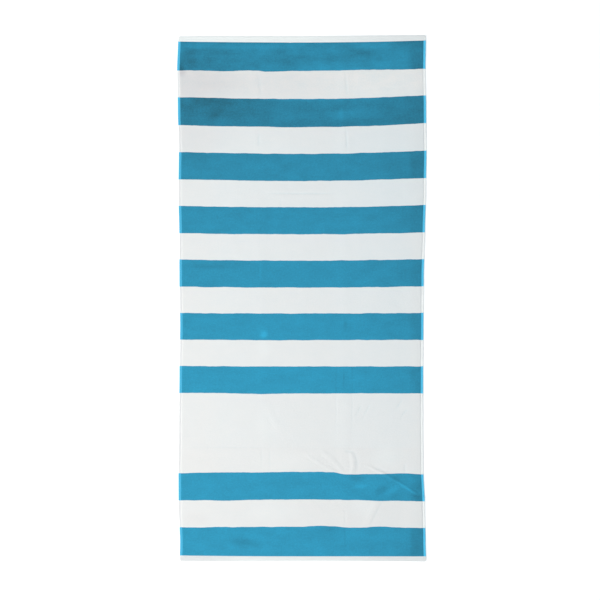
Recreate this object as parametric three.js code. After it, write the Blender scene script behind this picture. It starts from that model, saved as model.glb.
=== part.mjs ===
// A striped beach towel lying flat, face up. It is one cut of cloth, and its hems are turned from
// the same cloth, so it is one closed solid.
//
// Millimetres. X runs across the towel, Y along it and Z up. The origin is the middle of the box
// round the towel, on the surface that the towel lies on.
import * as THREE from 'three';

// ---- The cloth as cut and hemmed ----
const LENGTH = 1600;
const WIDTH = 750;
const CORNER_RADIUS = 5;

// ---- Thickness ----
// Height of the upper face over the underside, from the outer edge inwards: a rounded edge, the
// flat-woven hem, the groove that its stitching pulls in, and then the full pile.
const SIDE_HEM = [
  { inset: 0, thickness: 1.35 },
  { inset: 2, thickness: 1.75 },
  { inset: 5, thickness: 1.8 },
  { inset: 6.2, thickness: 1.45 },
  { inset: 9, thickness: 2.6 },
];
const END_HEM = [
  { inset: 0, thickness: 1.4 },
  { inset: 2, thickness: 1.8 },
  { inset: 15, thickness: 2.05 },
  { inset: 17, thickness: 1.5 },
  { inset: 21, thickness: 2.6 },
];
// The underside of the outer edge curves up by this much.
const EDGE_UNDERCUT = 0.2;

// ---- The outline as it lies ----
// How far the long edges stand out past half the width, or are drawn in from it.
const LONG_EDGES = [
  { y: 800, left: 1.5, right: 2.2 },
  { y: 690, left: 5.0, right: 0.8 },
  { y: 580, left: 2.6, right: 2.8 },
  { y: 450, left: -0.6, right: 4.0 },
  { y: 330, left: 1.0, right: 2.4 },
  { y: 200, left: -1.8, right: -0.9 },
  { y: 60, left: -2.2, right: -4.4 },
  { y: -80, left: -4.4, right: -5.4 },
  { y: -220, left: -2.4, right: -6.4 },
  { y: -380, left: -0.6, right: -6.6 },
  { y: -520, left: 0.8, right: -5.6 },
  { y: -630, left: 0.6, right: -1.2 },
  { y: -740, left: -4.2, right: 1.2 },
  { y: -800, left: -3.4, right: 2.8 },
];
// How far the ends stand out past half the length.
const END_EDGES = [
  { x: -375, top: -2.4, bottom: -1.6 },
  { x: -250, top: -1.6, bottom: -1.0 },
  { x: 0, top: -1.8, bottom: -1.8 },
  { x: 110, top: -0.7, bottom: -1.4 },
  { x: 240, top: 0.6, bottom: -0.8 },
  { x: 375, top: 1.6, bottom: -0.2 },
];

// ---- Ridges, where the cloth lifts off the surface it lies on ----
// Each runs between two points and bows to its left half-way. It rises to its height along the
// middle, and falls away over its reach on both sides and towards its ends.
const RIDGES = [
  // The two lengthwise folds, from being put away in thirds.
  { fromX: -142, fromY: 800, toX: -126, toY: 330, bow: 0, height: 0.5, reach: 34 },
  { fromX: -130, fromY: 400, toX: -120, toY: -190, bow: 0, height: 0.4, reach: 30 },
  { fromX: -122, fromY: -60, toX: -108, toY: -560, bow: 0, height: 0.45, reach: 34 },
  { fromX: 126, fromY: 800, toX: 134, toY: 300, bow: 0, height: 0.6, reach: 32 },
  { fromX: 131, fromY: 400, toX: 128, toY: -200, bow: 0, height: 0.45, reach: 30 },
  { fromX: 128, fromY: -100, toX: 133, toY: -800, bow: 0, height: 0.45, reach: 32 },
  // The crosswise folds.
  { fromX: -376, fromY: 640, toX: -110, toY: 634, bow: 0, height: 0.5, reach: 30 },
  { fromX: 140, fromY: 632, toX: 376, toY: 650, bow: 0, height: 0.5, reach: 30 },
  { fromX: -130, fromY: 322, toX: 120, toY: 322, bow: 0, height: 0.5, reach: 26 },
  { fromX: -376, fromY: 93, toX: -110, toY: 93, bow: 0, height: 0.45, reach: 28 },
  { fromX: -376, fromY: -462, toX: 40, toY: -456, bow: 0, height: 0.6, reach: 30 },
  // The pucker where the lower crosswise fold meets the right-hand lengthwise one.
  { fromX: 46, fromY: -456, toX: 138, toY: -542, bow: 7, height: 0.75, reach: 13 },
  { fromX: 136, fromY: -450, toX: 142, toY: -556, bow: 18, height: 1.0, reach: 15 },
  { fromX: 176, fromY: -498, toX: 420, toY: -640, bow: 8, height: 1.2, reach: 12 },
  { fromX: 240, fromY: -594, toX: 186, toY: -708, bow: 0, height: 0.9, reach: 18 },
  { fromX: -114, fromY: -314, toX: -68, toY: -402, bow: 0, height: 0.6, reach: 18 },
  // The right-hand hem turns down to the surface from a low swell beside it.
  { fromX: 340, fromY: 800, toX: 340, toY: 120, bow: 0, height: 0.8, reach: 44 },
  { fromX: 338, fromY: 220, toX: 336, toY: -470, bow: 0, height: 0.65, reach: 40 },
  { fromX: 340, fromY: -380, toX: 340, toY: -800, bow: 0, height: 0.8, reach: 44 },
];
// A ridge fades out over this share of its length at each end.
const RIDGE_FADE = 0.3;
// Where ridges meet they round off into one another: the higher the power, the less they add up.
const MEETING_POWER = 4;

// ---- Grid ----
// Lines between the hems, closer together where the ridges are narrow: each row carries on from the
// one before it, to a place measured from the left edge, or from the bottom one.
const COLUMN_SPANS = [
  { to: 215, steps: 5 },
  { to: 275, steps: 5 },
  { to: 435, steps: 5 },
  { to: 550, steps: 11 },
  { to: WIDTH - SIDE_HEM.at(-1).inset, steps: 10 },
];
const ROW_SPANS = [
  { to: 100, steps: 3 },
  { to: 380, steps: 17 },
  { to: 500, steps: 4 },
  { to: 870, steps: 9 },
  { to: 1090, steps: 6 },
  { to: 1150, steps: 4 },
  { to: 1400, steps: 6 },
  { to: 1470, steps: 4 },
  { to: LENGTH - END_HEM.at(-1).inset, steps: 4 },
];

const COLOUR = 0xdfe6e8;
const ROUGHNESS = 0.95;

// A column of a table read at a place between its rows, with a smooth step from row to row.
function readTable(table, place, at, column) {
  const rows = [...table].sort((a, b) => a[place] - b[place]);
  const next = rows.findIndex((row) => row[place] > at);
  if (next === 0) return rows[0][column];
  if (next < 0) return rows.at(-1)[column];
  const before = rows[next - 1];
  const after = rows[next];
  const share = (at - before[place]) / (after[place] - before[place]);
  return THREE.MathUtils.lerp(before[column], after[column], share * share * (3 - 2 * share));
}

// The lines of the grid along one side: both hems' own steps, and the spans between them.
function gridLines(hem, spans, size) {
  const lines = hem.map((step) => step.inset);
  for (const span of spans) {
    const from = lines.at(-1);
    for (let step = 1; step <= span.steps; step += 1) {
      lines.push(from + ((span.to - from) * step) / span.steps);
    }
  }
  const farHem = hem.slice(0, -1).map((step) => size - step.inset);
  return lines.concat(farHem.reverse());
}

// How much of a ridge's height is left at a point.
function ridgeHeight(ridge, x, y) {
  const runX = ridge.toX - ridge.fromX;
  const runY = ridge.toY - ridge.fromY;
  const run = Math.hypot(runX, runY);
  const along = ((x - ridge.fromX) * runX + (y - ridge.fromY) * runY) / (run * run);
  if (along <= 0 || along >= 1) return 0;
  const straight = ((y - ridge.fromY) * runX - (x - ridge.fromX) * runY) / run;
  const aside = Math.abs(straight - 4 * ridge.bow * along * (1 - along));
  if (aside >= ridge.reach) return 0;
  const section = (1 + Math.cos((Math.PI * aside) / ridge.reach)) / 2;
  const ends = THREE.MathUtils.smoothstep(Math.min(along, 1 - along), 0, RIDGE_FADE);
  return ridge.height * section * ends;
}

// How far the cloth is off the surface.
function lift(x, y) {
  const powers = RIDGES.map((ridge) => ridgeHeight(ridge, x, y) ** MEETING_POWER);
  return powers.reduce((sum, power) => sum + power, 0) ** (1 / MEETING_POWER);
}

// Where a point of the flat cloth lies in plan.
function planPoint(across, along) {
  const flatX = across - WIDTH / 2;
  const top = LENGTH / 2 + readTable(END_EDGES, 'x', flatX, 'top');
  const bottom = -LENGTH / 2 - readTable(END_EDGES, 'x', flatX, 'bottom');
  const y = THREE.MathUtils.lerp(bottom, top, along / LENGTH);
  const right = WIDTH / 2 + readTable(LONG_EDGES, 'y', y, 'right');
  const left = -WIDTH / 2 - readTable(LONG_EDGES, 'y', y, 'left');
  return new THREE.Vector2(THREE.MathUtils.lerp(left, right, across / WIDTH), y);
}

// The four outermost corners are drawn in to a point of their rounding.
function roundCorner(point) {
  const drawIn = CORNER_RADIUS * (1 - Math.SQRT1_2);
  point.x -= Math.sign(point.x) * drawIn;
  point.y -= Math.sign(point.y) * drawIn;
}

// The upper and lower point of the cloth at one crossing of the grid.
function clothPoints(across, along) {
  const sideInset = Math.min(across, WIDTH - across);
  const endInset = Math.min(along, LENGTH - along);
  const thickness = Math.min(
    readTable(SIDE_HEM, 'inset', sideInset, 'thickness'),
    readTable(END_HEM, 'inset', endInset, 'thickness'),
  );
  const plan = planPoint(across, along);
  if (sideInset === 0 && endInset === 0) roundCorner(plan);
  const under = lift(plan.x, plan.y);
  const undercut = Math.min(sideInset, endInset) === 0 ? EDGE_UNDERCUT : 0;
  return {
    upper: new THREE.Vector3(plan.x, plan.y, under + thickness),
    lower: new THREE.Vector3(plan.x, plan.y, under + undercut),
  };
}

// A closed sheet: the grid's upper face, the same grid turned over below it, and a strip round the rim.
function clothGeometry() {
  const columns = gridLines(SIDE_HEM, COLUMN_SPANS, WIDTH);
  const rows = gridLines(END_HEM, ROW_SPANS, LENGTH);
  const upper = [];
  const lower = [];
  for (const along of rows) {
    for (const across of columns) {
      const points = clothPoints(across, along);
      upper.push(points.upper);
      lower.push(points.lower);
    }
  }

  const indices = [];
  const quad = (a, b, c, d) => indices.push(a, b, c, a, c, d);
  const at = (row, column) => row * columns.length + column;
  const below = upper.length;
  const lastRow = rows.length - 1;
  const lastColumn = columns.length - 1;
  for (let row = 0; row < lastRow; row += 1) {
    for (let column = 0; column < lastColumn; column += 1) {
      const corners = [
        at(row, column),
        at(row, column + 1),
        at(row + 1, column + 1),
        at(row + 1, column),
      ];
      quad(...corners);
      quad(...corners.map((corner) => corner + below).reverse());
    }
  }
  const rimStrip = (from, to) => quad(from + below, to + below, to, from);
  for (let column = 0; column < lastColumn; column += 1) {
    rimStrip(at(0, column), at(0, column + 1));
    rimStrip(at(lastRow, column + 1), at(lastRow, column));
  }
  for (let row = 0; row < lastRow; row += 1) {
    rimStrip(at(row + 1, 0), at(row, 0));
    rimStrip(at(row, lastColumn), at(row + 1, lastColumn));
  }

  const geometry = new THREE.BufferGeometry().setFromPoints([...upper, ...lower]);
  geometry.setIndex(indices);
  return geometry;
}

// The towel's box is centred on the origin, and rests on the surface.
function towel() {
  const geometry = clothGeometry();
  geometry.computeBoundingBox();
  const middle = geometry.boundingBox.getCenter(new THREE.Vector3());
  geometry.translate(-middle.x, -middle.y, 0);
  geometry.computeVertexNormals();
  const material = new THREE.MeshStandardMaterial({
    color: COLOUR,
    roughness: ROUGHNESS,
    metalness: 0,
  });
  const mesh = new THREE.Mesh(geometry, material);
  mesh.name = 'towel';
  return mesh;
}

const beachTowel = new THREE.Group();
beachTowel.add(towel());

export default beachTowel;
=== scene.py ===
"""A striped beach towel lying flat, face up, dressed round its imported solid.

Shapes are worked out in millimetres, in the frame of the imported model, and made in metres.
X runs across the towel, Y along it and Z up.
"""
import math

import bpy
import numpy as np
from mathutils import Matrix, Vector, noise

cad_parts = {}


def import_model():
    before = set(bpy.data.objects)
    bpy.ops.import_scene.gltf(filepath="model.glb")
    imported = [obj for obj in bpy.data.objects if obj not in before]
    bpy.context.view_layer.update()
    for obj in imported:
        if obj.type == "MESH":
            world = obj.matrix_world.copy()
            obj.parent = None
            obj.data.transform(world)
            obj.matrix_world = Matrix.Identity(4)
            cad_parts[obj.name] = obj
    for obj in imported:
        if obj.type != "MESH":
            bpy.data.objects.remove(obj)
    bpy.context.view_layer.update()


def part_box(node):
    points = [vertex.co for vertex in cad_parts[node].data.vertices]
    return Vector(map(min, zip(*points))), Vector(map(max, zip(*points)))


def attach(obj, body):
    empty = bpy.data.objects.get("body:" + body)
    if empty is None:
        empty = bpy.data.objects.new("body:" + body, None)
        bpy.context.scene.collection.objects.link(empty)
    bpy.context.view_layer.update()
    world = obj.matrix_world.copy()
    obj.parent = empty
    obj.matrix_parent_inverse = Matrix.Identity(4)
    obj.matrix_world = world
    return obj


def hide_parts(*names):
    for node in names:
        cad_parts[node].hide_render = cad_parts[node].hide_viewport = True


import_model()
MM = 0.001

# ---- The cloth as cut and hemmed ----
LENGTH = 1600
WIDTH = 750
CORNER_RADIUS = 5
SIDE_HEM = 7
END_HEM = 18
BANDS = 19
BLANK_BAND = 14
BAND = (LENGTH - 2 * END_HEM) / BANDS

# ---- Thickness, from the outer edge inwards ----
SIDE_SECTION = {
    "inset": [0, 0.4, 2, 3.6, 5, 5.6, 6.2, 6.8, 7.6, 9, 12],
    "thickness": [1.45, 1.68, 1.79, 1.8, 1.8, 1.7, 1.45, 1.6, 2.2, 2.6, 2.6],
}
END_SECTION = {
    "inset": [0, 0.4, 2, 4, 7.8, 8.6, 9.4, 12, 15.2, 16.2, 17, 18, 19.2, 21, 24],
    "thickness": [1.4, 1.6, 1.8, 1.9, 2.0, 1.88, 2.0, 2.05, 2.05, 1.85, 1.5, 1.65, 2.3, 2.6, 2.6],
}
SIDE_SEAM = 6.2
END_SEAM = 17
EDGE_UNDERCUT = 0.2
UNDERCUT_REACH = 2
SEAM_UNDERCUT = 0.55
SEAM_REACH = 1.5

# ---- The outline as it lies ----
# How far the long edges stand out past half the width, and the ends past half the length.
LONG_EDGES = {
    "y": [-800, -740, -630, -520, -380, -220, -80, 60, 200, 330, 450, 580, 690, 800],
    "left": [-3.4, -4.2, 0.6, 0.8, -0.6, -2.4, -4.4, -2.2, -1.8, 1.0, -0.6, 2.6, 5.0, 1.5],
    "right": [2.8, 1.2, -1.2, -5.6, -6.6, -6.4, -5.4, -4.4, -0.9, 2.4, 4.0, 2.8, 0.8, 2.2],
}
END_EDGES = {
    "x": [-375, -250, 0, 110, 240, 375],
    "top": [-2.4, -1.6, -1.8, -0.7, 0.6, 1.6],
    "bottom": [-1.6, -1.0, -1.8, -1.4, -0.8, -0.2],
}
# How far the cloth between the end hems has crept along Y as it was laid out.
CREEP = {
    "y": [-782, -700, -618, -535, -412, -288, -165, -41, 82, 206, 329, 453, 535, 618, 700, 782],
    "left": [0.2, 3.5, 4.3, 4, 3, 1.9, 0.2, -3, -5, -6.3, -7, -7.3, -7, -5, -5.2, 0.2],
    "middle": [-2.3, 5.2, 7, 7.5, 4, 0.5, -1.5, -4.8, -7.8, -9.4, -11.4, -12.6, -12.7, -10.6, -6, -2.5],
    "right": [-2.4, 1.6, 1.5, 1, 0.6, 0.3, -0.8, -2.4, -3.8, -4.4, -3.9, -3.1, -1.3, 0.6, -0.6, 3.4],
}
CREEP_SIDE = 360

# ---- Ridges, where the cloth lifts off the surface ----
# Each runs between two points, bows to its left by so much half-way, and falls away over its reach
# and towards its ends.
LINE_COLUMNS = ("from_x", "from_y", "to_x", "to_y", "bow", "height", "reach")
RIDGES = [
    # The two lengthwise folds, from being put away in thirds.
    (-142, 800, -126, 330, 0, 0.5, 34),
    (-130, 400, -120, -190, 0, 0.4, 30),
    (-122, -60, -108, -560, 0, 0.45, 34),
    (126, 800, 134, 300, 0, 0.6, 32),
    (131, 400, 128, -200, 0, 0.45, 30),
    (128, -100, 133, -800, 0, 0.45, 32),
    # The crosswise folds.
    (-376, 640, -110, 634, 0, 0.5, 30),
    (140, 632, 376, 650, 0, 0.5, 30),
    (-130, 322, 120, 322, 0, 0.5, 26),
    (-376, 93, -110, 93, 0, 0.45, 28),
    (-376, -462, 40, -456, 0, 0.6, 30),
    # The pucker where the lower crosswise fold meets the right-hand lengthwise one.
    (-8, -458, 124, -538, -4, 0.6, 8),
    (46, -456, 138, -542, 7, 0.75, 13),
    (136, -450, 142, -556, 18, 1.0, 15),
    (176, -498, 420, -640, 8, 1.7, 6.5),
    (240, -594, 186, -708, 0, 0.9, 18),
    (-114, -314, -68, -402, 0, 0.6, 18),
    (-127, 108, -126, 44, 0, 0.4, 5),
    # The right-hand hem turns down to the surface from a low swell beside it.
    (340, 800, 340, 120, 0, 0.8, 44),
    (338, 220, 336, -470, 0, 0.65, 40),
    (340, -380, 340, -800, 0, 0.8, 44),
]
LINE_FADE = 0.3
MEETING = 4

# ---- Creases, pressed into the pile ----
CREASES = [
    # In the crosswise folds.
    (-130, 320, 120, 320, 0, 1.0, 4.5),
    (-368, 629, -155, 631, 0, 0.35, 5),
    (158, 637, 362, 648, -4, 0.4, 5),
    (-366, 99, -160, 97, 0, 0.14, 10),
    (-376, -452, -60, -452, 0, 0.35, 4),
    # In the left-hand lengthwise fold.
    (-139, 700, -124, 604, 3, 0.5, 10),
    (-131, 512, -131, 460, 0, 0.6, 7),
    (-64, 304, -64, 272, 0, 0.6, 5),
    (-122, -450, -122, -525, 0, 0.3, 5),
    (-97, -450, -98, -525, 0, 0.3, 5),
    # In the right-hand one.
    (129, 700, 137, 606, 2, 0.5, 7),
    (132, 530, 137, 440, 2, 0.7, 5),
    (132, -60, 132, -102, 0, 0.4, 9),
    (127, -208, 127, -276, 0, 0.32, 4),
    (137, -208, 137, -276, 0, 0.12, 4),
    (131, -612, 131, -784, 0, 0.3, 4),
    (252, -602, 202, -700, 0, 0.35, 6),
    # Short ones in the blank band.
    (186, -318, 160, -362, 0, 0.6, 4),
    (212, -314, 182, -368, 0, 0.6, 4),
    (308, -304, 284, -338, 0, 1.0, 4),
    (322, -334, 299, -362, 0, 0.9, 4),
    (104, -120, 104, -450, 0, 0.22, 4),
    (154, -120, 152, -446, 0, 0.25, 4),
    # Beside the pucker.
    (126, -462, 166, -468, 0, 0.6, 6),
    (150, -456, 152, -546, 16, 0.45, 12),
    (212, -516, 288, -532, 0, 0.6, 8),
    (313, -498, 314, -534, 0, 0.5, 8),
]

# ---- Drags, where the bands are pulled along Y ----
# The pull grows from one place across the towel to its peak and dies away by another.
DRAG_COLUMNS = ("from_x", "peak_x", "to_x", "y", "half_height", "pull")
DRAGS = [
    (96, 132, 340, -528, 46, -6.4),
    (-260, -160, -40, -570, 70, -2.6),
    (-10, 50, 130, -695, 40, 4.0),
    (100, 150, 260, -695, 40, -2.6),
    (180, 225, 300, -695, 40, 2.2),
    (180, 240, 300, -612, 34, -2.6),
    (100, 130, 180, -618, 30, -1.8),
    (-340, -250, -100, -618, 36, -2.0),
    (-250, -110, 0, -288, 40, -1.6),
    (-300, -237, -170, 696, 36, -1.6),
    (-135, -105, 10, 696, 36, -3.0),
    (130, 190, 270, 696, 36, 2.0),
]

# ---- Pile ----
# It rises beside the hems over the ramp.
PILE_RAMP = 5
LUMP_HEIGHT = 0.16
LUMP_SIZE = 26
LUMP_SMOOTHNESS = 0.8
LUMP_FINER_BY = 2.1
LUMP_LEVELS = 3


def named_rows(columns, table):
    """A table's rows, each with its values under their columns' names."""
    return [dict(zip(columns, row)) for row in table]


def read_table(table, place, at, column):
    """A column of a table read at places between its rows, with a smooth step from row to row."""
    places = np.array(table[place], float)
    values = np.array(table[column], float)
    at = np.clip(at, places[0], places[-1])
    after = np.clip(np.searchsorted(places, at, side="right"), 1, len(places) - 1)
    share = (at - places[after - 1]) / (places[after] - places[after - 1])
    step = share * share * (3 - 2 * share)
    return values[after - 1] + (values[after] - values[after - 1]) * step


def smooth_step(low, high, at):
    share = np.clip((at - low) / (high - low), 0, 1)
    return share * share * (3 - 2 * share)


def line_height(line, x, y):
    """The height of a ridge, or the depth of a crease, at each point."""
    run_x = line["to_x"] - line["from_x"]
    run_y = line["to_y"] - line["from_y"]
    run = math.hypot(run_x, run_y)
    along = ((x - line["from_x"]) * run_x + (y - line["from_y"]) * run_y) / run ** 2
    aside = ((y - line["from_y"]) * run_x - (x - line["from_x"]) * run_y) / run
    share = np.clip(along, 0, 1)
    aside = np.abs(aside - 4 * line["bow"] * share * (1 - share))
    section = (1 + np.cos(np.pi * np.clip(aside / line["reach"], 0, 1))) / 2
    ends = smooth_step(0, LINE_FADE, np.minimum(along, 1 - along))
    return line["height"] * section * ends


def highest_line(table, x, y):
    """The lines of a table together, rounded off where they meet."""
    total = np.zeros_like(x)
    for line in named_rows(LINE_COLUMNS, table):
        total += line_height(line, x, y) ** MEETING
    return total ** (1 / MEETING)


def drag(x, y):
    """How far the cloth is pulled along Y."""
    total = np.zeros_like(x)
    for pull in named_rows(DRAG_COLUMNS, DRAGS):
        rising = smooth_step(pull["from_x"], pull["peak_x"], x)
        falling = 1 - smooth_step(pull["peak_x"], pull["to_x"], x)
        near = 1 - smooth_step(0, pull["half_height"], np.abs(y - pull["y"]))
        total += pull["pull"] * rising * falling * near
    return total


def creep(flat_x, flat_y):
    """How far a point of the cloth has crept along Y."""
    middle = read_table(CREEP, "y", flat_y, "middle")
    side = np.where(
        flat_x < 0,
        read_table(CREEP, "y", flat_y, "left"),
        read_table(CREEP, "y", flat_y, "right"),
    )
    body = middle + (side - middle) * (flat_x / CREEP_SIDE) ** 2
    end = np.where(
        flat_y < 0,
        -read_table(END_EDGES, "x", flat_x, "bottom"),
        read_table(END_EDGES, "x", flat_x, "top"),
    )
    into_hem = smooth_step(LENGTH / 2 - END_HEM, LENGTH / 2, np.abs(flat_y))
    return body + (end - body) * into_hem + drag(flat_x, flat_y)


def plan(across, along):
    """Where points of the flat cloth lie in plan."""
    flat_x = across - WIDTH / 2
    flat_y = along - LENGTH / 2
    y = flat_y + creep(flat_x, flat_y)
    right = WIDTH / 2 + read_table(LONG_EDGES, "y", y, "right")
    left = -WIDTH / 2 - read_table(LONG_EDGES, "y", y, "left")
    return left + (right - left) * across / WIDTH, y


def insets(across, along):
    """Distances from the nearer long edge and from the nearer end."""
    return np.minimum(across, WIDTH - across), np.minimum(along, LENGTH - along)


def round_corners(x, y, across, along):
    """Draws the corners of the outline in to their radius."""
    side, end = insets(across, along)
    into_x = np.clip(CORNER_RADIUS - side, 0, None)
    into_y = np.clip(CORNER_RADIUS - end, 0, None)
    reach = np.hypot(into_x, into_y)
    widest = np.maximum(into_x, into_y)
    shrink = np.divide(widest, reach, out=np.ones_like(reach), where=reach > 0)
    toward_x = -np.sign(across - WIDTH / 2)
    toward_y = -np.sign(along - LENGTH / 2)
    return x + toward_x * into_x * (1 - shrink), y + toward_y * into_y * (1 - shrink)


def lumps(x, y):
    """Soft unevenness of the pile, from -1 to 1."""
    places = zip(x.ravel() / LUMP_SIZE, y.ravel() / LUMP_SIZE)
    heights = [
        noise.fractal(Vector((a, b, 0)), LUMP_SMOOTHNESS, LUMP_FINER_BY, LUMP_LEVELS)
        for a, b in places
    ]
    return np.array(heights).reshape(x.shape)


def faces_of_cloth(across, along):
    """Points of the upper and the lower face, in millimetres, at places on the flat cloth."""
    across, along = np.broadcast_arrays(np.asarray(across, float), np.asarray(along, float))
    side, end = insets(across, along)
    x, y = plan(across, along)
    off = highest_line(RIDGES, x, y)
    from_side = smooth_step(SIDE_HEM, SIDE_HEM + PILE_RAMP, side)
    from_end = smooth_step(END_HEM, END_HEM + PILE_RAMP, end)
    thickness = np.minimum(
        read_table(SIDE_SECTION, "inset", side, "thickness"),
        read_table(END_SECTION, "inset", end, "thickness"),
    )
    in_pile = LUMP_HEIGHT * lumps(x, y) - highest_line(CREASES, x, y)
    upper = off + thickness + from_side * from_end * in_pile
    undercut = EDGE_UNDERCUT * (1 - smooth_step(0, UNDERCUT_REACH, np.minimum(side, end)))
    to_seam = np.minimum(np.abs(side - SIDE_SEAM), np.abs(end - END_SEAM))
    seam = SEAM_UNDERCUT * (1 - smooth_step(0, SEAM_REACH, to_seam))
    lower = off + undercut + seam
    x, y = round_corners(x, y, across, along)
    return np.stack([x, y, upper], -1), np.stack([x, y, lower], -1)


# ---- Grid ----
# Lines between the hems: each span carries on from the one before it, to a place measured from the
# left edge or from the bottom one, in a number of steps.
COLUMN_SPANS = [(200, 34), (272, 26), (366, 30), (WIDTH - SIDE_SECTION["inset"][-1], 148)]
ROW_SPANS = [
    (85, 8), (370, 108), (500, 22), (880, 38), (920, 12), (1100, 18), (1142, 18),
    (1405, 26), (1465, 14), (LENGTH - END_SECTION["inset"][-1], 12),
]


def grid_lines(section, spans, size):
    lines = list(section["inset"])
    for to, steps in spans:
        start = lines[-1]
        lines += [start + (to - start) * step / steps for step in range(1, steps + 1)]
    return np.array(lines + [size - inset for inset in section["inset"][-2::-1]])


def cloth_mesh():
    """A closed sheet: a fine upper face, a lower face on every second line, and the rim."""
    across = grid_lines(SIDE_SECTION, COLUMN_SPANS, WIDTH)
    along = grid_lines(END_SECTION, ROW_SPANS, LENGTH)
    wide, long = len(across), len(along)
    if wide % 2 == 0 or long % 2 == 0:
        raise ValueError(f"the grid needs an even number of cells: {wide - 1} by {long - 1}")
    places = np.meshgrid(across, along)
    upper, lower = faces_of_cloth(*places)
    upper_index = np.arange(wide * long).reshape(long, wide)
    lower_wide = (wide + 1) // 2
    lower_long = (long + 1) // 2
    lower_index = wide * long + np.arange(lower_wide * lower_long).reshape(lower_long, lower_wide)

    faces = []
    a = upper_index
    quads = np.stack([a[:-1, :-1], a[:-1, 1:], a[1:, 1:], a[1:, :-1]], -1).reshape(-1, 4)
    faces += quads.tolist()
    b = lower_index
    quads = np.stack([b[:-1, :-1], b[1:, :-1], b[1:, 1:], b[:-1, 1:]], -1).reshape(-1, 4)
    lower_from = len(faces)
    faces += quads.tolist()
    rim_from = len(faces)
    around_upper = np.concatenate([a[0, :-1], a[:-1, -1], a[-1, :0:-1], a[:0:-1, 0]])
    around_lower = np.concatenate([b[0, :-1], b[:-1, -1], b[-1, :0:-1], b[:0:-1, 0]])
    for step in range(len(around_lower)):
        low, next_low = around_lower[step], around_lower[(step + 1) % len(around_lower)]
        first, second = around_upper[2 * step], around_upper[2 * step + 1]
        third = around_upper[(2 * step + 2) % len(around_upper)]
        faces += [[low, next_low, second], [low, second, first], [next_low, third, second]]

    points = np.concatenate([upper.reshape(-1, 3), lower[::2, ::2].reshape(-1, 3)]) * MM
    flat = np.concatenate([
        np.stack(places, -1).reshape(-1, 2),
        np.stack(places, -1)[::2, ::2].reshape(-1, 2),
    ])
    mesh = bpy.data.meshes.new("towel cloth")
    mesh.from_pydata(points.tolist(), [], [[int(i) for i in face] for face in faces])
    return mesh, flat, lower_from, rim_from, wide * long


# ---- Pile tone and painted shade ----
# How deep the blue looks, 0 on its bright side and 1 on its deep one, deeper towards the top; the same
# along the right-hand hem, where it is painted shade; and how strongly the pile is brushed about.
PILE_ALONG = {
    "y": [-800, -560, -250, 150, 420, 580, 700, 800],
    "shade": [0.08, 0.08, 0.08, 0.24, 0.38, 0.72, 0.46, 0.4],
    "edge": [0.58, 0.44, 0.43, 0.55, 0.74, 0.82, 0.78, 0.66],
    "brushed": [0.62, 0.45, 0.5, 0.5, 0.55, 0.6, 0.9, 0.9],
}
# How much deeper the blue looks across the towel: a little at the far left, most towards the right.
BLUE_ACROSS = {
    "x": [-376, -300, -100, 60, 150, 237, 326],
    "shade": [0.1, 0.08, 0.04, 0.045, 0.04, 0.1, 0.19],
}
# Across the towel, where the painted shade along the right-hand hem takes over.
RIGHT_SHADE_FROM, RIGHT_SHADE_TO = 322, 340
# Painted shade on the white along the towel: how deep it looks, what it gains towards the right-hand
# side and along that hem, how much bluer it looks, which across the towel grows from the left, and how
# rough its grain is.
WHITE_ALONG = {
    "y": [-800, -560, -458, -448, -250, 150, 420, 580, 655, 800],
    "shade": [0.03, 0.03, 0.03, 0.03, 0.03, 0.085, 0.1, 0.07, 0.03, 0.03],
    "side": [0.04, 0.05, 0.08, 0.08, 0.12, 0.12, 0.2, 0.16, 0.03, 0.03],
    "edge": [0.08, 0.07, 0.06, 0.06, 0.06, 0.1, 0.25, 0.16, 0.03, 0.03],
    "painted_shade_tint": [0, 0, 0.1, 0.5, 0.6, 0.85, 1.05, 0.55, 0.05, 0],
    "rough": [0.5, 0.5, 0.45, 0.45, 0.45, 0.55, 0.5, 0.5, 1.0, 1.0],
}
WHITE_ACROSS = {
    "x": [-376, -320, -230, 60, 120, 240, 300, 376],
    "side": [0, 0, 0, 0, 0, 0.6, 1, 1],
    "painted_shade_tint": [0, 0.1, 0.6, 0.6, 1, 1, 0.8, 0.5],
}
# How far the flat-woven side hems are darkened: painted shade on the left-hand one, and painted light,
# below 0, on the right-hand one.
HEM_SHADING = {"y": [-800, 520, 620, 800], "left": [0.8, 0.8, 0, 0], "right": [-1.1, -1.1, -1.1, -1.3]}
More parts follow.
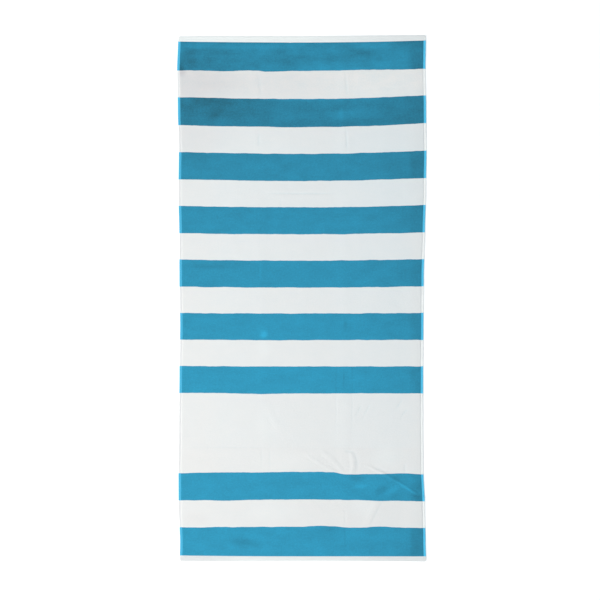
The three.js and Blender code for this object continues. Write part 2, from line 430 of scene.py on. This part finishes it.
# Clouds that deepen the blue, or lighten it below 0: mottling in the pile, and painted highlights and
# painted shade along the folds and about the pucker. The half width is along the turn, in degrees.
CLOUD_COLUMNS = ("x", "y", "half_width", "half_height", "turn", "shade")
BLUE_CLOUDS = [
    # Down the top band and the next one below it.
    (-345, 730, 30, 50, 0, 0.3),
    (-370, 695, 14, 24, 0, 0.6),
    (-300, 730, 120, 50, 0, 0.12),
    (-300, 602, 110, 30, 0, 0.26),
    (-230, 575, 70, 36, 0, 0.1),
    (-152, 590, 20, 40, 0, 0.1),
    (-40, 570, 60, 34, 0, -0.15),
    (130, 650, 230, 80, 0, -0.4),
    (-10, 609, 120, 8, 0, -0.35),
    (-255, 749, 80, 9, -3, 0.2),
    (-250, 727, 90, 10, 3, 0.08),
    (-60, 724, 34, 40, -25, 0.12),
    (182, 748, 50, 12, -8, 0.2),
    (280, 726, 70, 44, 0, -0.3),
    (60, 720, 60, 50, 0, -0.1),
    (-130, 768, 200, 12, 0, -0.2),
    (10, 726, 110, 16, 0, 0.16),
    (95, 732, 36, 22, 0, 0.2),
    (165, 736, 50, 14, 0, 0.12),
    (236, 727, 20, 10, 0, 0.15),
    (-152, 745, 26, 14, 0, 0.15),
    (215, 770, 90, 12, 0, -0.17),
    (-345, 768, 20, 14, 0, -0.2),
    (-350, 600, 20, 20, 0, -0.2),
    (-262, 562, 30, 14, 35, 0.15),
    (120, 560, 10, 24, 0, -0.2),
    (190, 566, 90, 20, 0, -0.25),
    (95, 560, 30, 12, 0, -0.2),
    (300, 590, 40, 40, 0, -0.2),
    (-330, 440, 60, 40, 0, 0.15),
    (-310, 768, 60, 12, 0, -0.13),
    (255, 768, 60, 12, 0, -0.1),
    (-104, 727, 16, 12, 0, 0.1),
    (-6, 724, 18, 12, 0, -0.14),
    (110, 722, 40, 10, 0, 0.1),
    (237, 722, 16, 10, 0, 0.1),
    (42, 603, 16, 10, 0, 0.15),
    (140, 603, 16, 10, 0, 0.15),
    (285, 603, 16, 10, 0, 0.15),
    (115, 556, 230, 14, 0, -0.12),
    (-300, 556, 60, 12, 0, 0.1),
    # In the middle bands: painted shade along the folds, and painted highlights on the left-hand
    # lengthwise one.
    (-290, 100, 120, 14, 0, 0.09),
    (-126, 86, 4, 24, 0, -0.22),
    (130, -250, 7, 26, 0, 0.1),
    (-116, -109, 14, 12, 0, -0.6),
    (-116, -100, 26, 24, 0, -0.12),
    # Down the bottom band and the next one above it: mottling, and painted highlights and painted shade
    # about the pucker.
    (-182, -740, 46, 14, -4, 0.3),
    (70, -712, 36, 24, 0, 0.2),
    (168, -546, 26, 12, -5, 0.25),
    (285, -546, 16, 8, 0, 0.2),
    (176, -571, 28, 7, 5, -0.25),
    (240, -582, 28, 13, 35, 0.24),
    (323, -580, 36, 5, -34, -0.42),
    (276, -582, 30, 12, 35, -0.25),
    (352, -604, 18, 12, -35, 0.3),
    (356, -574, 12, 10, 0, 0.12),
    (336, -556, 12, 12, 0, -0.15),
    (-40, -560, 90, 16, 0, 0.1),
    (212, -560, 46, 30, 0, -0.1),
    (-130, -600, 50, 12, 0, 0.08),
    (-150, -752, 60, 12, 0, 0.07),
    (334, -756, 14, 12, 0, -0.14),
]
# Painted shade on the white, darker and bluer, or painted light below 0, brighter and warmer.
TINT_COLUMNS = ("x", "y", "half_width", "half_height", "turn", "painted_shading", "painted_shade_tint")
WHITE_CLOUDS = [
    (-330, 655, 160, 80, 0, 1.2, 0),
    (-368, 690, 18, 16, 0, 1.4, 0),
    (240, 655, 170, 60, 0, -0.4, 0),
    (-90, 655, 160, 60, 0, 0.3, 0),
    (-340, 492, 150, 70, 0, 0.5, 0),
    (256, -486, 50, 40, 0, -0.3, 0.2),
    (-100, 450, 60, 40, 0, -0.15, 0),
    (-115, -150, 26, 34, 0, -0.25, 0.1),
    (-100, -380, 44, 60, 0, -0.2, 0.1),
    (-60, -500, 100, 40, 0, -0.25, 0),
    (-320, -500, 90, 60, 0, 0, -0.3),
    (-90, -645, 90, 40, 0, -0.2, 0.2),
    (190, -628, 50, 40, 0, -0.2, 0.3),
    (-330, -670, 60, 26, 0, 0.2, -0.2),
    # On the end hems: painted light along the top one, and painted shade on the bottom one.
    (-150, 792, 430, 24, 0, -1.1, 0),
    (-330, -792, 130, 24, 0, 0.9, 0),
    (290, -792, 120, 24, 0, 0.4, 0),
]


def cloud_cover(columns, table, name, x, y):
    """One column of a table of clouds, added up at each point."""
    total = np.zeros_like(x)
    for cloud in named_rows(columns, table):
        turn = math.radians(cloud["turn"])
        off_x, off_y = x - cloud["x"], y - cloud["y"]
        wide = (off_x * math.cos(turn) + off_y * math.sin(turn)) / cloud["half_width"]
        high = (off_y * math.cos(turn) - off_x * math.sin(turn)) / cloud["half_height"]
        total += cloud[name] * (1 - smooth_step(0.2, 1.3, np.hypot(wide, high)))
    return total


# Takes a value over to its level along the right-hand hem, which is painted shade.
def by_right_hem(shade, edge, x):
    return shade + (edge - shade) * smooth_step(RIGHT_SHADE_FROM, RIGHT_SHADE_TO, x)


def pile_values(x, y):
    """What the pile's colours take from its place: a value for each point under each name."""
    blue = read_table(PILE_ALONG, "y", y, "shade") + read_table(BLUE_ACROSS, "x", x, "shade")
    blue = by_right_hem(blue, read_table(PILE_ALONG, "y", y, "edge"), x)
    side = read_table(WHITE_ALONG, "y", y, "side") * read_table(WHITE_ACROSS, "x", x, "side")
    white = read_table(WHITE_ALONG, "y", y, "shade") + side
    painted_shade_tint = read_table(WHITE_ALONG, "y", y, "painted_shade_tint") * read_table(WHITE_ACROSS, "x", x, "painted_shade_tint")
    hem_painted_shading = np.where(
        x < 0, read_table(HEM_SHADING, "y", y, "left"), read_table(HEM_SHADING, "y", y, "right")
    )
    return {
        # The blue: deeper towards the top, painted shade along the right-hand hem, and mottling,
        # painted highlights and painted shade in the clouds.
        "blue_shade": blue + cloud_cover(CLOUD_COLUMNS, BLUE_CLOUDS, "shade", x, y),
        # Painted shade on the white.
        "white_shade": by_right_hem(white, read_table(WHITE_ALONG, "y", y, "edge"), x),
        # Painted shade on the left-hand side hem and painted light on the right-hand one.
        "hem_painted_shading": hem_painted_shading,
        # Painted shade and painted light on the white and the end hems.
        "painted_shading": cloud_cover(TINT_COLUMNS, WHITE_CLOUDS, "painted_shading", x, y),
        # The bluer tint of painted shade on the white, or a warmer one below 0.
        "painted_shade_tint": painted_shade_tint + cloud_cover(TINT_COLUMNS, WHITE_CLOUDS, "painted_shade_tint", x, y),
        "brushed": read_table(PILE_ALONG, "y", y, "brushed"),
        "white_rough": read_table(WHITE_ALONG, "y", y, "rough"),
        # The creases' depth, which also paints shade into the colour.
        "crease": highest_line(CREASES, x, y),
    }


def corner_points(mesh):
    """The index of the point at each corner of each face."""
    indices = np.zeros(len(mesh.loops), np.int32)
    mesh.loops.foreach_get("vertex_index", indices)
    return indices


def add_map(mesh, name, places):
    """Adds a UV map, from a place for each corner of each face."""
    layer = mesh.uv_layers.new(name=name)
    layer.data.foreach_set("uv", places.astype(np.float32).ravel())


def shade_smooth(mesh):
    mesh.polygons.foreach_set("use_smooth", np.ones(len(mesh.polygons), bool))


def add_object(name, data):
    made = bpy.data.objects.new(name, data)
    bpy.context.collection.objects.link(made)
    return made


MAP_BORDER = 12
MAP_GAP = 60
RIM_ON_MAP = 3.0
ON_EDGE = 0.01


def bake_layout(flat, on_back, spill):
    """Places on the piece's own map: the face on its left half and the back on its right half."""
    scale = 1 / (LENGTH + 2 * MAP_BORDER)
    across = flat[:, 0] + MAP_BORDER + spill[:, 0] + np.where(on_back, WIDTH + MAP_GAP, 0)
    return np.stack([across, flat[:, 1] + MAP_BORDER + spill[:, 1]], -1) * scale


def cloth_piece():
    mesh, flat, lower_from, rim_from, upper_count = cloth_mesh()
    counts = np.array([len(p.vertices) for p in mesh.polygons])
    corner_face = np.repeat(np.arange(len(counts)), counts)
    corner_point = corner_points(mesh)
    corner_flat = flat[corner_point]
    on_back = (corner_face >= lower_from) & (corner_face < rim_from)
    spilled = (corner_face >= rim_from) & (corner_point >= upper_count)
    centre = np.array([WIDTH / 2, LENGTH / 2])
    away = corner_flat - centre
    outward = np.where(np.abs(np.abs(away) - centre) < ON_EDGE, np.sign(away), 0)
    spill = outward * np.where(spilled, RIM_ON_MAP, 0.0)[:, None]
    add_map(mesh, "OFBake", bake_layout(corner_flat, on_back, spill))
    add_map(mesh, "Cloth", corner_flat * MM)
    points = np.array([vertex.co for vertex in mesh.vertices]) / MM
    for name, values in pile_values(points[:, 0], points[:, 1]).items():
        layer = mesh.attributes.new(name, "FLOAT", "POINT")
        layer.data.foreach_set("value", values.astype(np.float32))
    mesh.materials.append(face_material())
    mesh.materials.append(back_material())
    material_index = np.zeros(len(counts), np.int32)
    material_index[lower_from:rim_from] = 1
    mesh.polygons.foreach_set("material_index", material_index)
    shade_smooth(mesh)
    mesh.validate()
    mesh.update()
    return add_object("towel_cloth", mesh)


# ---- Materials ----
class Shader:
    """One material's nodes. Each method adds a node and gives its output."""

    def __init__(self, name):
        self.material = bpy.data.materials.new(name)
        self.material.use_nodes = True
        self.tree = self.material.node_tree
        self.tree.nodes.clear()

    def add(self, kind, inputs=None, **settings):
        node = self.tree.nodes.new(kind)
        for key, value in settings.items():
            setattr(node, key, value)
        for key, value in (inputs or {}).items():
            if isinstance(value, bpy.types.NodeSocket):
                self.tree.links.new(value, node.inputs[key])
            else:
                node.inputs[key].default_value = value
        return node

    def math(self, operation, *values, clamp=False):
        node = self.add("ShaderNodeMath", dict(enumerate(values)), operation=operation, use_clamp=clamp)
        return node.outputs[0]

    def mix(self, factor, first, second, **settings):
        inputs = {0: factor, 6: first, 7: second}
        return self.add("ShaderNodeMix", inputs, data_type="RGBA", **settings).outputs[2]

    def blend(self, factor, first, second):
        """A mix that goes on past either colour."""
        return self.mix(factor, first, second, clamp_factor=False)

    def tone(self, factor, colour, tone):
        """The colour times the tone, or away from it where the factor is below 0."""
        return self.mix(factor, colour, tone, blend_type="MULTIPLY", clamp_factor=False)

    def step(self, value, low, high):
        """Runs smoothly from 0 to 1 as the value goes from low to high."""
        inputs = {"Value": value, "From Min": low, "From Max": high}
        return self.add("ShaderNodeMapRange", inputs, interpolation_type="SMOOTHSTEP").outputs[0]

    def flat_places(self):
        """Where a point is on the flat cloth, in millimetres: across, along and both as a vector."""
        uv = self.add("ShaderNodeUVMap", uv_map="Cloth").outputs[0]
        vector = self.scaled(uv, MM, MM)
        split = self.add("ShaderNodeSeparateXYZ", {0: vector})
        return split.outputs[0], split.outputs[1], vector

    def scaled(self, vector, long, high):
        """The vector in units of so long across the towel and so high along it."""
        inputs = {0: vector, 1: (1 / long, 1 / high, 1)}
        return self.add("ShaderNodeVectorMath", inputs, operation="MULTIPLY").outputs[0]

    def noise(self, vector, long, high, detail, roughness):
        """Noise whose blots are so long across the towel and so high along it."""
        place = self.scaled(vector, long, high)
        inputs = {"Vector": place, "Scale": 1, "Detail": detail, "Roughness": roughness}
        return self.add("ShaderNodeTexNoise", inputs).outputs[0]

    def swing(self, vector, blots):
        """Noise about 0."""
        return self.math("SUBTRACT", self.noise(vector, *blots), 0.5)

    def specks(self, scale):
        """Noise through the piece, with so many specks to the metre."""
        place = self.add("ShaderNodeTexCoord").outputs["Object"]
        return self.add("ShaderNodeTexNoise", {"Vector": place, "Scale": scale}).outputs[0]

    def cells(self, vector, long, high, randomness):
        """The distance from the nearest of many middles, so long and so high apart."""
        inputs = {"Vector": self.scaled(vector, long, high), "Scale": 1, "Randomness": randomness}
        return self.add("ShaderNodeTexVoronoi", inputs).outputs["Distance"]

    def weave(self, across, along):
        """The relief of a plain weave."""
        ribs = self.math("SINE", self.math("MULTIPLY", across, 2 * math.pi / WARP_PITCH))
        weft = self.math("SINE", self.math("MULTIPLY", along, 2 * math.pi / WEFT_PITCH))
        return self.math("MULTIPLY", self.math("MULTIPLY", ribs, weft), 0.25)

    def choose(self, factor, first, second):
        """One number or another."""
        return self.add("ShaderNodeMix", {0: factor, 2: first, 3: second}).outputs[0]

    def attribute(self, name):
        return self.add("ShaderNodeAttribute", attribute_name=name).outputs["Fac"]

    def bump(self, height, distance, strength=1.0, normal=None):
        inputs = {"Height": height, "Distance": distance * MM, "Strength": strength}
        if normal is not None:
            inputs["Normal"] = normal
        return self.add("ShaderNodeBump", inputs).outputs[0]

    def finish(self, colour, normal, roughness, specular, sheen, sheen_roughness, glow=0.0):
        inputs = {
            "Base Color": colour,
            "Normal": normal,
            "Roughness": roughness,
            "Specular IOR Level": specular,
            "Sheen Weight": sheen,
            "Sheen Roughness": sheen_roughness,
        }
        if glow > 0:
            inputs["Emission Color"] = (1, 1, 1, 1)
            inputs["Emission Strength"] = glow
        shader = self.add("ShaderNodeBsdfPrincipled", inputs)
        self.add("ShaderNodeOutputMaterial", {"Surface": shader.outputs[0]})
        return self.material


WHITE_PILE = (0.738, 0.738, 0.732, 1)
# The white in its darker grain and in painted shade.
WHITE_GRAIN_AND_SHADE = (0.60, 0.68, 0.71, 1)
# The bluer tone of painted shade on the white.
COOL_SHADE_TONE = (1.0, 1.03, 1.045, 1)
# The darker tone of painted shade on the white and the hems.
PAINTED_SHADE_TONE = (0.91, 0.90, 0.91, 1)
BLUE_PILE = (0.0285, 0.300, 0.482, 1)
# The blue in its deeper pile and in painted shade.
BLUE_DARK_PILE_AND_SHADE = (0.019, 0.150, 0.232, 1)
WHITE_FLAT = (0.80, 0.81, 0.81, 1)
BLUE_FLAT = (0.082, 0.485, 0.745, 1)
WHITE_END = (0.765, 0.785, 0.785, 1)
WHITE_LOOP = (0.74, 0.755, 0.76, 1)
BLUE_SHOWING_THROUGH = (0.50, 0.66, 0.73, 1)
THREAD_WHITE = [(0.70, 0.72, 0.73, 1), (0.80, 0.82, 0.82, 1)]
THREAD_BLUE = [(0.045, 0.36, 0.56, 1), (0.07, 0.45, 0.68, 1)]
LOOP_SHADOW = (0.42, 0.45, 0.48, 1)
# Blots of noise: how long across the towel, how high along it, their levels of detail and roughness.
STREAKS = (56, 30, 4, 0.6)
GRAIN = (6, 5, 3, 0.7)
TUFTS = (1.6, 1.6, 2, 0.7)
BACK_GRAIN = (7, 7, 3, 0.6)
YARN = (0.35, 1.4, 2, 0.6)
EDGE_BLOTS = (60, 60, 5, 0.6)
# Specks of the thread's twist to the metre.
THREAD_TWISTS = 2500
# How far the blots move the edges of the bands, in millimetres, then how soft these are and how far
# the blue spreads past them, on the wave that makes the bands.
EDGE_WANDER = 6
BAND_EDGE = 0.02
BLUE_SPREAD = 0.02
# The blank band takes in a little of both its neighbours.
BLANK_REACH = 0.75
SIDE_HEM_EDGE = (SIDE_HEM - 0.1, SIDE_HEM + 0.9)
END_HEM_EDGE = (END_HEM - 0.2, END_HEM + 0.8)
WARP_PITCH = 1.3
WEFT_PITCH = 1.1
LOOP_PITCH = (1.5, 2.1)
LOOP_DISORDER = 0.55
CLOTH_SURFACE = {"roughness": 0.95, "specular": 0.12, "sheen": 0.2, "sheen_roughness": 0.5}


def blue_bands(shader, along, vector):
    """1 on the blue bands and 0 between them, with slightly unsteady edges."""
    from_top = shader.math("SUBTRACT", LENGTH - END_HEM, along)
    wander = shader.swing(vector, EDGE_BLOTS)
    bands = shader.math("DIVIDE", from_top, BAND)
    bands = shader.math("MULTIPLY_ADD", wander, EDGE_WANDER / BAND, bands)
    wave = shader.math("COSINE", shader.math("MULTIPLY", shader.math("SUBTRACT", bands, 0.5), math.pi))
    blue = shader.step(wave, -BLUE_SPREAD - BAND_EDGE, BAND_EDGE - BLUE_SPREAD)
    blank = shader.math("COMPARE", bands, BLANK_BAND + 0.5, BLANK_REACH)
    return shader.math("MULTIPLY", blue, shader.math("SUBTRACT", 1, blank))


def edge_distances(shader, across, along):
    """Distances from the nearer long edge and from the nearer end, in millimetres."""
    side = shader.math("MINIMUM", across, shader.math("SUBTRACT", WIDTH, across))
    end = shader.math("MINIMUM", along, shader.math("SUBTRACT", LENGTH, along))
    return side, end


def hem_masks(shader, side, end):
    """1 on the flat-woven side hems, and 1 on the end hems."""
    return (
        shader.math("SUBTRACT", 1, shader.step(side, *SIDE_HEM_EDGE)),
        shader.math("SUBTRACT", 1, shader.step(end, *END_HEM_EDGE)),
    )


def face_material():
    """Cut pile with printed bands, and flat-woven hems."""
    shader = Shader("velour_face")
    across, along, vector = shader.flat_places()
    blue = blue_bands(shader, along, vector)
    side, end = edge_distances(shader, across, along)
    side_hem, end_hem = hem_masks(shader, side, end)

    grain = shader.swing(vector, GRAIN)
    tufts = shader.swing(vector, TUFTS)
    streaks = shader.math("MULTIPLY", shader.swing(vector, STREAKS), shader.attribute("brushed"))
    crease = shader.attribute("crease")
    rough = shader.math("MULTIPLY_ADD", streaks, 1.1, tufts)
    rough = shader.math("MULTIPLY_ADD", grain, 0.75, rough)
    # The blue carries painted shade along the right-hand hem, and painted highlights and shade in its
    # clouds.
    blue_shade = shader.math("ADD", rough, shader.attribute("blue_shade"))
    # Painted shade along the creases on the blue.
    blue_shade = shader.math("MULTIPLY_ADD", crease, 0.5, blue_shade)
    white_rough = shader.math("MULTIPLY", rough, shader.attribute("white_rough"))
    # The white carries painted shade, deeper over the upper middle, towards the right and along the
    # right-hand hem.
    white_shade = shader.math("ADD", white_rough, shader.attribute("white_shade"))
    # Painted shade along the creases on the white.
    white_shade = shader.math("MULTIPLY_ADD", crease, 0.3, white_shade)
    blue_pile = shader.blend(blue_shade, BLUE_PILE, BLUE_DARK_PILE_AND_SHADE)
    white_pile = shader.blend(white_shade, WHITE_PILE, WHITE_GRAIN_AND_SHADE)
    # The bluer tone of painted shade on the white.
    white_pile = shader.tone(shader.attribute("painted_shade_tint"), white_pile, COOL_SHADE_TONE)
    painted_shading = shader.attribute("painted_shading")
    # Painted shade darkens the white, and painted light brightens it, where the tint clouds lie.
    colour = shader.mix(blue, shader.tone(painted_shading, white_pile, PAINTED_SHADE_TONE), blue_pile)
    flat_colour = shader.mix(blue, WHITE_FLAT, BLUE_FLAT)
    # Painted shade on the left-hand side hem and painted light on the right-hand one.
    flat_colour = shader.tone(shader.attribute("hem_painted_shading"), flat_colour, PAINTED_SHADE_TONE)
    colour = shader.mix(side_hem, colour, flat_colour)
    # Painted light on the top end hem and painted shade on the bottom one.
    colour = shader.mix(end_hem, colour, shader.tone(painted_shading, WHITE_END, PAINTED_SHADE_TONE))

    in_hem = shader.math("MAXIMUM", side_hem, end_hem)
    pile_height = shader.math("MULTIPLY_ADD", grain, 1.2, tufts)
    height = shader.choose(in_hem, pile_height, shader.weave(across, along))
    return shader.finish(colour, shader.bump(height, 0.5, 0.8), **CLOTH_SURFACE)


def back_material():
    """Uncut loops in rows, with the bands showing through faintly."""
    shader = Shader("terry_back")
    across, along, vector = shader.flat_places()
    blue = blue_bands(shader, along, vector)
    side, end = edge_distances(shader, across, along)
    side_hem, end_hem = hem_masks(shader, side, end)
    grain = shader.noise(vector, *BACK_GRAIN)
    yarn = shader.noise(vector, *YARN)
    gaps = shader.cells(vector, *LOOP_PITCH, LOOP_DISORDER)
    through = shader.math("MULTIPLY", blue, shader.math("MULTIPLY_ADD", grain, 0.6, 0.3))
    colour = shader.mix(through, WHITE_LOOP, BLUE_SHOWING_THROUGH)
    colour = shader.mix(shader.math("POWER", gaps, 2), colour, LOOP_SHADOW)
    flat_colour = shader.mix(blue, WHITE_FLAT, BLUE_FLAT)
    colour = shader.mix(side_hem, colour, flat_colour)
    colour = shader.mix(end_hem, colour, WHITE_END)

    in_hem = shader.math("MAXIMUM", side_hem, end_hem)
    loop_height = shader.math("MULTIPLY_ADD", yarn, 0.5, shader.math("SUBTRACT", 1, gaps))
    loop_height = shader.math("MULTIPLY_ADD", grain, 0.8, loop_height)
    height = shader.choose(in_hem, loop_height, shader.weave(across, along))
    return shader.finish(colour, shader.bump(height, 0.8, 0.9), **CLOTH_SURFACE)


def thread_material():
    """Thread printed along with the cloth."""
    shader = Shader("sewing_thread")
    across, along, vector = shader.flat_places()
    side, end = edge_distances(shader, across, along)
    end_hem = hem_masks(shader, side, end)[1]
    between_ends = shader.math("SUBTRACT", 1, end_hem)
    blue = shader.math("MULTIPLY", blue_bands(shader, along, vector), between_ends)
    twist = shader.specks(THREAD_TWISTS)
    colour = shader.mix(blue, shader.mix(twist, *THREAD_WHITE), shader.mix(twist, *THREAD_BLUE))
    return shader.finish(colour, shader.bump(twist, 0.08), 0.7, 0.3, 0.1, 0.5)


# ---- Stitching ----
STITCH_PITCH = 3.0
STITCH_LENGTH = 2.3
STITCH_RADIUS = 0.24
STITCH_SIDES = 6
# How far the middle of a stitch stands off its side of the cloth, or sinks into it below 0.
FACE_STITCH_LIFT = 0.05
BACK_STITCH_LIFT = -0.22
# How far either way along the seam the cloth's slope is taken.
SLOPE_REACH = 0.5
STITCH_RINGS = {"place": [-0.5, -0.3, 0.3, 0.5], "radius": [0.6, 1, 1, 0.6], "rise": [-0.8, 0, 0, -0.8]}


def seam_places():
    """Where the stitches are on the flat cloth: across, along, and whether the seam runs along it."""
    down = np.arange(STITCH_PITCH, LENGTH - STITCH_PITCH / 2, STITCH_PITCH)
    over = np.arange(STITCH_PITCH, WIDTH - STITCH_PITCH / 2, STITCH_PITCH)
    rows = [
        (np.full_like(down, SIDE_SEAM), down, 1),
        (np.full_like(down, WIDTH - SIDE_SEAM), down, 1),
        (over, np.full_like(over, END_SEAM), 0),
        (over, np.full_like(over, LENGTH - END_SEAM), 0),
    ]
    across = np.concatenate([row[0] for row in rows])
    along = np.concatenate([row[1] for row in rows])
    runs_along = np.concatenate([np.full(len(row[0]), row[2]) for row in rows])
    return across, along, runs_along


def stitches(name, upper_side):
    """The seams' stitches on one side of the cloth, as one mesh of small bowed bars."""
    across, along, runs_along = seam_places()
    face = 0 if upper_side else 1
    centre = faces_of_cloth(across, along)[face]
    step_across = np.where(runs_along == 1, 0, SLOPE_REACH)
    step_along = np.where(runs_along == 1, SLOPE_REACH, 0)
    ahead = faces_of_cloth(across + step_across, along + step_along)[face]
    behind = faces_of_cloth(across - step_across, along - step_along)[face]
    direction = ahead - behind
    direction /= np.linalg.norm(direction, axis=1, keepdims=True)
    up = np.array([0, 0, 1.0 if upper_side else -1.0])
    aside = np.cross(up, direction)
    aside /= np.linalg.norm(aside, axis=1, keepdims=True)
    centre = centre + up * (FACE_STITCH_LIFT if upper_side else BACK_STITCH_LIFT)

    angles = np.arange(STITCH_SIDES) * 2 * math.pi / STITCH_SIDES
    rings = []
    for place, radius, rise in zip(*STITCH_RINGS.values()):
        ring_centre = centre + direction * place * STITCH_LENGTH + up * rise * STITCH_RADIUS
        for angle in angles:
            out = aside * math.cos(angle) + up * math.sin(angle)
            rings.append(ring_centre + out * radius * STITCH_RADIUS)
    points = np.stack(rings, 1)
    per_stitch = points.shape[1]
    faces = []
    for ring in range(len(STITCH_RINGS["place"]) - 1):
        for side in range(STITCH_SIDES):
            here = ring * STITCH_SIDES + side
            next_side = ring * STITCH_SIDES + (side + 1) % STITCH_SIDES
            faces.append([here, here + STITCH_SIDES, next_side + STITCH_SIDES, next_side])
    first_cap = list(range(STITCH_SIDES))
    last_cap = list(range(per_stitch - 1, per_stitch - 1 - STITCH_SIDES, -1))
    faces += [first_cap, last_cap]
    if upper_side:
        faces = [face[::-1] for face in faces]
    starts = range(0, per_stitch * len(centre), per_stitch)
    all_faces = [[corner + start for corner in face] for start in starts for face in faces]
    mesh = bpy.data.meshes.new(name)
    mesh.from_pydata((points.reshape(-1, 3) * MM).tolist(), [], all_faces)
    shade_smooth(mesh)
    flat = np.repeat(np.stack([across, along], -1), per_stitch, axis=0)
    add_map(mesh, "Cloth", flat[corner_points(mesh)] * MM)
    mesh.materials.append(thread_material())
    return add_object(name, mesh)


cloth = cloth_piece()
face_stitches = stitches("hem_stitching_face", True)
back_stitches = stitches("hem_stitching_back", False)

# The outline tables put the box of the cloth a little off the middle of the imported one.
cloth_low = Vector(np.min([v.co for v in cloth.data.vertices], axis=0))
cloth_high = Vector(np.max([v.co for v in cloth.data.vertices], axis=0))
cad_low, cad_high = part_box("towel")
shift = (cad_low + cad_high) / 2 - (cloth_low + cloth_high) / 2
shift.z = 0
for piece in (cloth, face_stitches, back_stitches):
    for vertex in piece.data.vertices:
        vertex.co += shift

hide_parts("towel")
for piece in (cloth, face_stitches, back_stitches):
    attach(piece, "root")

# ---- Floor, light and camera ----
FRAME_WIDTH = 1825
LENS = 85
SENSOR = 36
AIM_X, AIM_Y = -5.4, -5.0
CLOTH_TOP = 2.6
# The floor in metres: flat out to a wide ring, then curving up a little way to hide the horizon.
FLOOR_PROFILE = {
    "radius": [8, 22, 24, 26, 28, 29.5, 30.5, 31],
    "height": [0, 0, 0.1, 0.45, 1.2, 2.3, 4.2, 7.6],
}
FLOOR_SIDES = 64
FLOOR_DROP = 0.0003
FLOOR_PAINT = [(0.98, 0.98, 0.98, 1), (0.99, 0.99, 0.99, 1)]
FLOOR_SPECKS = 3
FLOOR_GLOW = 0.1
SKY = (0.89, 0.955, 1.0)


def floor():
    rings = list(zip(FLOOR_PROFILE["radius"], FLOOR_PROFILE["height"]))
    turns = [2 * math.pi * side / FLOOR_SIDES for side in range(FLOOR_SIDES)]
    points = [
        (radius * math.cos(turn), radius * math.sin(turn), height - FLOOR_DROP)
        for radius, height in rings
        for turn in turns
    ]
    faces = [list(range(FLOOR_SIDES))]
    for start in range(0, (len(rings) - 1) * FLOOR_SIDES, FLOOR_SIDES):
        for side in range(FLOOR_SIDES):
            here, beside = start + side, start + (side + 1) % FLOOR_SIDES
            faces.append([here, here + FLOOR_SIDES, beside + FLOOR_SIDES, beside])
    mesh = bpy.data.meshes.new("floor")
    mesh.from_pydata(points, [], faces)
    shade_smooth(mesh)
    shader = Shader("floor_paint")
    speckle = shader.specks(FLOOR_SPECKS)
    colour = shader.mix(speckle, *FLOOR_PAINT)
    relief = shader.bump(speckle, 0.01)
    mesh.materials.append(shader.finish(colour, relief, 0.9, 0.1, 0.0, 0.5, glow=FLOOR_GLOW))
    add_object("floor", mesh)


def sun(name, strength, angle, direction, colour):
    """A far light that shines along the direction."""
    data = bpy.data.lights.new(name, "SUN")
    data.energy = strength
    data.angle = math.radians(angle)
    data.color = colour
    made = add_object(name, data)
    made.rotation_euler = Vector(direction).to_track_quat("-Z", "Y").to_euler()


def panel(name, power, size, place, colour):
    """A soft panel that faces the towel."""
    data = bpy.data.lights.new(name, "AREA")
    data.energy = power
    data.size = size
    data.color = colour
    made = add_object(name, data)
    made.location = place
    made.rotation_euler = (-Vector(place)).to_track_quat("-Z", "Y").to_euler()


def world(colour, strength):
    made = bpy.data.worlds.new("room")
    made.use_nodes = True
    background = made.node_tree.nodes["Background"]
    background.inputs["Color"].default_value = colour
    background.inputs["Strength"].default_value = strength
    bpy.context.scene.world = made


def camera():
    data = bpy.data.cameras.new("camera")
    data.lens = LENS
    data.sensor_width = SENSOR
    made = add_object("camera", data)
    distance = FRAME_WIDTH * LENS / SENSOR
    made.location = (AIM_X * MM, AIM_Y * MM, (distance + CLOTH_TOP) * MM)
    bpy.context.scene.camera = made


floor()
world((*SKY, 1), 0.34)
sun("overhead_light", 0.99, 60, (0.0, 0.0, -1.0), SKY)
sun("low_light", 0.95, 16, (2.6, 1.3, -2.1), (1.0, 0.985, 0.96))
panel("near_panel", 68, 1.2, (-2.8, -0.9, 2.1), (1.0, 0.945, 0.88))
camera()
bpy.context.scene.view_settings.view_transform = "Standard"
